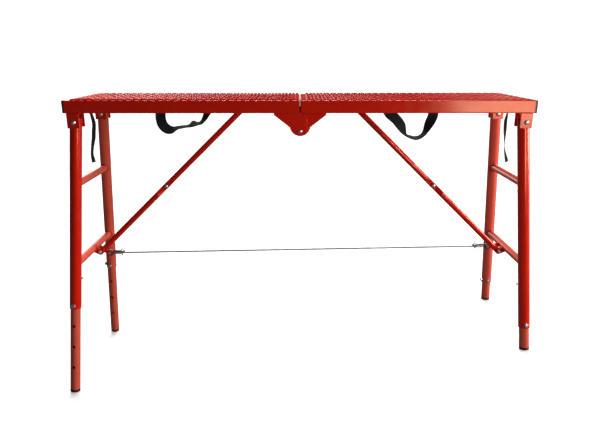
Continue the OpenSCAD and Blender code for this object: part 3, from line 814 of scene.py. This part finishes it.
class SAWHORSE_OT_tie_straps(bpy.types.Operator):
    """Loop a narrow tie strap round each outer cross bar and let it hang"""

    bl_idname = "sawhorse.tie_straps"
    bl_label = "Tie straps"

    # sideways place from the bar's middle and distance down, in millimetres
    sway = {
        "left": [
            (9, 0),
            (12, 25),
            (18, 55),
            (15, 82),
            (12, 106),
            (6, 132),
            (2, 158),
            (4, 178),
            (5, 186),
        ],
        "right": [
            (-12, 0),
            (-15, 25),
            (-18, 50),
            (-17, 80),
            (-15, 110),
            (-14, 135),
            (-8, 160),
            (-2, 180),
            (-1, 186),
        ],
    }

    # where the strap's twist starts, in radians
    twist_start = {"left": 0.4, "right": 1.6}

    def execute(self, context):
        sizes = context.scene.sawhorse_webbing
        for side, line in self.sway.items():
            low, high = deck_box(f"{side}_tie_strap")
            x0 = (low.x + high.x) / 2
            y0 = (low.y + high.y) / 2
            stations = []
            for k, (dx, down) in enumerate(line):
                # the strap turns to and fro about its own length as it hangs
                twist = 0.75 + 0.45 * math.sin(1.3 * k + self.twist_start[side])
                way = Vector((math.cos(twist), math.sin(twist), 0.03 * k))
                stations.append((x0 + dx * MM, y0, high.z - down * MM, way))
            name = f"{side}_hanging_strap"
            thick = sizes.thick * 0.8
            strap = webbing_strip(name, stations, sizes.strap_width, thick, steps=5, columns=4)
            settle(strap, DECK)
            coat(strap, "Black webbing")
            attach(strap, f"{side}_deck")
            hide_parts(f"{side}_tie_strap")
            loop = self.bar_loop(side, x0, y0, high.z, sizes)
            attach(loop, f"{side}_deck")
        return {"FINISHED"}

    def bar_loop(self, side, x0, y0, z0, sizes):
        """The strap's turn round its square bar, lying against all four faces."""
        half_bar = 0.010
        air = 0.0002
        steps = 32
        reach = half_bar + air + sizes.thick / 2
        ring = []
        for k in range(steps + 1):
            a = math.radians(-90 + 360 * k / steps)
            c, s = math.cos(a), math.sin(a)
            # a square with rounded corners
            far = reach / (0.75 * max(abs(c), abs(s)) + 0.25)
            ring.append((x0 + far * c, y0, z0 + half_bar + far * s, Vector((0, 1, 0))))
        name = f"{side}_strap_turn"
        thick = sizes.thick * 0.7
        loop = webbing_strip(name, ring, sizes.strap_width, thick, steps=1, columns=4)
        settle(loop, DECK)
        coat(loop, "Black webbing")
        return loop


def rope_tube(name, points, radius, lay, start=0.0, strands=6, around=24, groove=0.16):
    """A wire rope along a line: a tube whose lobes wind round it."""
    rows = len(points)
    bpy.ops.mesh.primitive_cylinder_add(vertices=around, radius=1, depth=1)
    obj = started(name)
    bpy.ops.object.mode_set(mode="EDIT")
    bm = bmesh.from_edit_mesh(obj.data)
    for e in bm.edges:
        lengthwise = abs(e.verts[0].co.z - e.verts[1].co.z) > 0.5
        e.select_set(lengthwise)
    bmesh.update_edit_mesh(obj.data)
    bpy.ops.mesh.subdivide(number_cuts=rows - 2)
    bpy.ops.object.mode_set(mode="OBJECT")
    run = [0.0]
    for a, b in zip(points, points[1:]):
        run.append(run[-1] + (b - a).length)
    frames = []
    side = Vector((0, 1, 0))
    for k, p in enumerate(points):
        t = (points[min(k + 1, rows - 1)] - points[max(k - 1, 0)]).normalized()
        side = (side - side.dot(t) * t).normalized()
        frames.append((p, side, t.cross(side)))
    for v in obj.data.vertices:
        row = round((v.co.z + 0.5) * (rows - 1))
        a = math.atan2(v.co.y, v.co.x)
        wind = 2 * math.pi * (start + run[row]) / lay
        r = radius * (1 - groove * (0.5 - 0.5 * math.cos(strands * (a - wind))))
        p, s, u = frames[row]
        v.co = p + s * r * math.cos(a) + u * r * math.sin(a)
    clean(obj)
    return smooth(obj, 70)


class SAWHORSE_OT_stay_cable(bpy.types.Operator):
    """Run the wire rope between the leg frames, with its eyes, sleeves and clips"""

    bl_idname = "sawhorse.stay_cable"
    bl_label = "Stay cable"

    # the bodies that a length of the cable runs between, and its ends as shares of the run
    lengths = [
        ("left_legs", "left_deck", 0.0, 0.25),
        ("left_deck", "right_deck", 0.25, 0.75),
        ("right_deck", "right_legs", 0.75, 1.0),
    ]
    # from the eye's middle line to the rope's start, and between the rope's rings
    eye_gap = 0.002
    ring_gap = 0.0024
    clip_from_eye = 0.034

    def execute(self, context):
        sizes = context.scene.sawhorse_cable
        low, high = deck_box("tie_cable")
        pts = node_points("tie_cable")
        y = (low.y + high.y) / 2
        ends = []
        for sign in (-1, 1):
            edge = sign * max(sign * p.x for p in pts)
            near = [p for p in pts if abs(p.x - edge) < 2.1 * sizes.eye]
            z = (min(p.z for p in near) + max(p.z for p in near)) / 2
            ends.append(Vector((edge - sign * (sizes.eye + sizes.diameter / 2), y, z)))
        left, right = ends
        way = (right - left).normalized()
        start = left + way * (sizes.eye + self.eye_gap)
        stop = right - way * (sizes.eye + self.eye_gap)
        run = (stop - start).length
        for k, (a, b, begins, ends_at) in enumerate(self.lengths):
            first, last = begins * run, ends_at * run
            count = max(2, int((last - first) / self.ring_gap))
            marks = [start + way * (first + (last - first) * i / count) for i in range(count + 1)]
            line = [DECK @ p for p in marks]
            name = f"stay_cable_{k + 1}"
            rope = rope_tube(name, line, sizes.diameter / 2, sizes.lay, start=first)
            coat(rope, "Galvanised wire")
            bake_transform(rope)
        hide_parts("tie_cable")
        for side, centre, sense in (("left", left, 1), ("right", right, -1)):
            self.end_fittings(side, centre, way * sense, sizes)
        return {"FINISHED"}

    def end_fittings(self, side, centre, way, sizes):
        """The eye with its tail, the sleeve and the rope clip of one end of the cable."""
        up = Vector((0, 1, 0)).cross(way).normalized()
        if up.z < 0:
            up = -up
        # the eye is open by 80 degrees towards the rope
        steps = 40
        turns = []
        for k in range(steps - 2, 1, -1):
            a = math.radians(25 + 310 * k / steps)
            c, s = math.cos(a), math.sin(a)
            turns.append(centre - way * sizes.eye * c + up * sizes.eye * s)
        # the tail comes back beside the rope
        tail = centre + way * (sizes.eye + 0.044) + up * sizes.diameter * 1.05
        back = [tail, tail - way * 0.022, tail - way * 0.038 + up * 0.0004]
        first = centre + way * (sizes.eye + 0.004)
        line = curve_points(back + turns + [first, first + way * 0.006], 3)
        name = f"{side}_cable_eye"
        eye = rope_tube(name, [DECK @ p for p in line], sizes.diameter / 2, sizes.lay)
        coat(eye, "Galvanised wire")
        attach(eye, f"{side}_legs")
        clip = self.rope_clip(side, centre + way * (sizes.eye + self.clip_from_eye), way, up)
        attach(clip, f"{side}_legs")
        self.sleeve(side, way)

    def sleeve(self, side, way):
        """A sleeve pressed over the rope beside the eye, rounded at both ends."""
        pts = [p for p in node_points("cable_ferrules") if (p.x < 0) == (side == "left")]
        along = [p.dot(way) for p in pts]
        mean = sum(pts, Vector()) / len(pts)
        centre = mean + way * ((min(along) + max(along)) / 2 - mean.dot(way))
        radius = max((p - centre).cross(way).length for p in pts)
        long = max(along) - min(along)
        bpy.ops.mesh.primitive_cylinder_add(vertices=36, radius=radius, depth=long)
        tube = started(f"{side}_cable_sleeve")
        modify(tube, "BEVEL", "Pressed ends", width=radius * 0.3, segments=3)
        turn = way.to_track_quat("Z", "Y").to_matrix().to_4x4()
        settle(tube, DECK @ Matrix.Translation(centre) @ turn)
        coat(tube, "Zinc fasteners")
        smooth(tube, 40)
        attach(tube, f"{side}_legs")
        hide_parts("cable_ferrules")

    def rope_clip(self, side, centre, way, up):
        """A saddle, a U-bolt and two nuts that clamp the rope's tail."""
        wire = 0.0017
        half_gap = 0.0052
        bow_z = -0.0035
        turned = Matrix((way, Vector((0, 1, 0)), up)).transposed().to_4x4()
        bpy.ops.mesh.primitive_cube_add(size=1, location=(0, 0, 0.0085))
        saddle = started("saddle")
        saddle.scale = (0.012, 0.019, 0.0045)
        bpy.ops.object.transform_apply(location=True, scale=True)
        modify(saddle, "BEVEL", "Cast edges", width=0.0011, segments=2)
        pieces = [saddle]
        for y in (-half_gap, half_gap):
            pieces.append(self.round_bar("u_leg", 20, wire, 0.019, (0, y, 0.006)))
            thread = {"width": 0.0003, "segments": 1, "angle_limit": math.radians(50)}
            modify(pieces[-1], "BEVEL", "Thread end", **thread)
            pieces.append(self.round_bar("clip_nut", 6, 0.0038, 0.0028, (0, y, 0.0122)))
            modify(pieces[-1], "BEVEL", "Chamfer", width=0.0004, segments=1)
        bpy.ops.mesh.primitive_torus_add(
            major_radius=half_gap,
            minor_radius=wire,
            major_segments=32,
            minor_segments=12,
            rotation=(0, math.pi / 2, 0),
            location=(0, 0, bow_z),
        )
        bow = started("u_bow")
        bpy.ops.object.transform_apply(location=True, rotation=True)
        bpy.ops.object.mode_set(mode="EDIT")
        bpy.ops.mesh.select_all(action="SELECT")
        cut = {"plane_co": (0, 0, bow_z), "plane_no": (0, 0, 1)}
        bpy.ops.mesh.bisect(clear_outer=True, use_fill=True, **cut)
        bpy.ops.object.mode_set(mode="OBJECT")
        pieces.append(bow)
        clip = join(f"{side}_rope_clip", pieces)
        settle(clip, DECK @ Matrix.Translation(centre) @ turned)
        coat(clip, "Zinc fasteners")
        return smooth(clip, 40)

    def round_bar(self, name, sides, radius, depth, place):
        bpy.ops.mesh.primitive_cylinder_add(
            vertices=sides, radius=radius, depth=depth, location=place
        )
        bar = started(name)
        bpy.ops.object.transform_apply(location=True)
        return bar


class SAWHORSE_OT_welds(bpy.types.Operator):
    """Run a weld bead round every rung end"""

    bl_idname = "sawhorse.welds"
    bl_label = "Weld beads"

    bead_radius = 0.0019
    # the bead's middle line lies this far outside the rung, and from the rung's end
    outside = 0.0009
    from_end = 0.004
    ripples = 26
    ripple_depth = 0.00035

    def execute(self, context):
        for side in SIDES:
            for rung in ("upper_rung", "lower_rung"):
                self.rung_beads(side, rung)
        return {"FINISHED"}

    def rung_beads(self, side, rung):
        """A bead round each end of a rung, dropped onto the leg tube by its own saddle."""
        low, high = deck_box(f"{side}_{rung}")
        centre = (low + high) / 2
        radius = (high.x - low.x) / 2
        for name, sense in (("front", -1), ("back", 1)):
            tube = CAD_NODES[f"{side}_{name}_leg_tube"]
            bpy.ops.mesh.primitive_torus_add(
                major_radius=radius + self.outside,
                minor_radius=self.bead_radius,
                major_segments=72,
                minor_segments=8,
                rotation=(math.pi / 2, 0, 0),
            )
            bead = started(f"{side}_{name}_{rung}_weld")
            bpy.ops.object.transform_apply(rotation=True)
            end = high.y if sense > 0 else low.y
            place = Vector((centre.x, end - sense * self.from_end, centre.z))
            settle(bead, DECK @ Matrix.Translation(place))
            inward = (DECK.to_3x3() @ Vector((0, -sense, 0))).normalized()
            middle = DECK @ place
            for v in bead.data.vertices:
                # each point of the bead keeps its round, pushed out from the tube's wall
                off = v.co - middle
                depth = off.dot(inward)
                foot = v.co - inward * depth
                ripple = self.ripple_depth * math.sin(self.ripples * math.atan2(off.z, off.x))
                hit, where, _, _ = tube.ray_cast(foot + inward * 0.03, -inward, distance=0.08)
                if hit:
                    v.co = where + inward * (depth * 0.9 + ripple)
            coat(bead, "Frame powder coat")
            smooth(bead, 60)
            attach(bead, f"{side}_legs")


class SAWHORSE_OT_stage(bpy.types.Operator):
    """Lay the pale floor, hang the soft lights and set the camera"""

    bl_idname = "sawhorse.stage"
    bl_label = "Stage and camera"

    def execute(self, context):
        studio = context.scene.sawhorse_studio
        self.floor()
        self.world(context.scene)
        self.sun(studio.key)
        # each softbox: place, the point that it faces, power, width and height
        softboxes = {
            "Right softbox": ((1.42, -1.9, 0.80), (0.55, -0.1, 0.86), studio.side, 0.75, 0.7),
            "Side softbox": ((4.6, -0.5, 1.3), (0, 0, 0.5), studio.wash, 1.6, 2.4),
            "Back softbox": ((-1.7, 4.2, 1.5), (-0.2, 0, 0.9), studio.back, 3.4, 1.4),
        }
        for name, values in softboxes.items():
            self.softbox(name, *values)
        self.camera(context.scene, studio)
        return {"FINISHED"}

    def floor(self):
        deselect()
        bpy.ops.mesh.primitive_circle_add(
            vertices=96, radius=60, fill_type="NGON", location=(0, 0, -0.0005)
        )
        floor = started("studio_floor")

        def build(t, shader):
            place = t.add("ShaderNodeTexCoord").outputs["Object"]
            patch = t.span(t.noise(place, 3.0), 0.3, 0.7)
            paper = t.blend(patch, colour(0.86, 0.86, 0.855), colour(0.88, 0.88, 0.875))
            # the paper looks white, yet throws little light up at the object
            seen = t.add("ShaderNodeLightPath").outputs["Is Camera Ray"]
            t.wire(t.blend(seen, colour(0.09, 0.09, 0.09), paper), shader.inputs["Base Color"])
            shader.inputs["Roughness"].default_value = 0.85
            shader.inputs["Emission Color"].default_value = colour(1, 1, 1)
            t.wire(t.maths("MULTIPLY", seen, 0.38), shader.inputs["Emission Strength"])

        floor.data.materials.append(finish_material("Studio floor", build))

    def world(self, scene):
        world = bpy.data.worlds.new("Studio")
        scene.world = world
        world.use_nodes = True
        world.node_tree.nodes.clear()
        t = Tree(world.node_tree)
        # the sky looks white, yet throws little light on the object
        thrown, shown = 0.045, 1.02
        seen = t.add("ShaderNodeLightPath").outputs["Is Camera Ray"]
        background = t.add("ShaderNodeBackground")
        t.feed(background, Color=colour(1, 1, 1), Strength=t.span(seen, 0.0, 1.0, thrown, shown))
        out = t.add("ShaderNodeOutputWorld")
        t.wire(background.outputs[0], out.inputs["Surface"])
        scene.view_settings.view_transform = "Standard"
        scene.view_settings.look = "None"

    def sun(self, strength):
        data = bpy.data.lights.new("Overhead light", "SUN")
        data.energy = strength
        data.angle = math.radians(42)
        self.aim(data, (0.3, 2.0, 3.0), (0, 0, 0))

    def softbox(self, name, place, target, watts, wide, tall):
        data = bpy.data.lights.new(name, "AREA")
        data.energy = watts
        data.shape = "RECTANGLE"
        data.size = wide
        data.size_y = tall
        self.aim(data, place, target)

    def aim(self, data, place, target):
        lamp = bpy.data.objects.new(data.name, data)
        bpy.context.scene.collection.objects.link(lamp)
        way = Vector(target) - Vector(place)
        turn = way.to_track_quat("-Z", "Y").to_matrix().to_4x4()
        lamp.matrix_world = Matrix.Translation(place) @ turn

    def camera(self, scene, studio):
        level = math.cos(studio.dip)
        x = math.sin(studio.turn) * level
        y = math.cos(studio.turn) * level
        forward = Vector((x, y, -math.sin(studio.dip)))
        right = forward.cross(Vector((0, 0, 1))).normalized()
        up = right.cross(forward)
        turned = Matrix((right, up, -forward)).transposed().to_4x4()
        data = bpy.data.cameras.new("Camera")
        data.sensor_width = 36
        data.lens = studio.lens
        data.clip_end = 200
        camera = bpy.data.objects.new("Camera", data)
        scene.collection.objects.link(camera)
        camera.matrix_world = DECK @ Matrix.Translation(Vector(studio.camera)) @ turned
        scene.camera = camera


class SAWHORSE_PT_panel(bpy.types.Panel):
    """Lists the sawhorse's sizes and the buttons that build it"""

    bl_idname = "SAWHORSE_PT_panel"
    bl_label = "Folding sawhorse"
    bl_space_type = "VIEW_3D"
    bl_region_type = "UI"
    bl_category = "Sawhorse"

    def draw(self, context):
        layout = self.layout
        for key in GROUPS:
            box = layout.box()
            settings = getattr(context.scene, key)
            for prop in settings.__annotations__:
                box.prop(settings, prop)
        for op in STEPS:
            layout.operator(op.bl_idname)


GROUPS = {
    "sawhorse_finishes": SawhorseFinishes,
    "sawhorse_mesh": SawhorseMesh,
    "sawhorse_webbing": SawhorseWebbing,
    "sawhorse_cable": SawhorseCable,
    "sawhorse_studio": SawhorseStudio,
}
STEPS = (
    SAWHORSE_OT_finishes,
    SAWHORSE_OT_deck_mesh,
    SAWHORSE_OT_handles,
    SAWHORSE_OT_tie_straps,
    SAWHORSE_OT_stay_cable,
    SAWHORSE_OT_welds,
    SAWHORSE_OT_stage,
)
CLASSES = tuple(GROUPS.values()) + STEPS + (SAWHORSE_PT_panel,)


def register():
    for cls in CLASSES:
        bpy.utils.register_class(cls)
    for key, cls in GROUPS.items():
        setattr(bpy.types.Scene, key, bpy.props.PointerProperty(type=cls))


def unregister():
    for key in GROUPS:
        delattr(bpy.types.Scene, key)
    for cls in reversed(CLASSES):
        bpy.utils.unregister_class(cls)


def main():
    register()
    for step in STEPS:
        family, name = step.bl_idname.split(".")
        getattr(getattr(bpy.ops, family), name)()


if __name__ == "__main__":
    main()
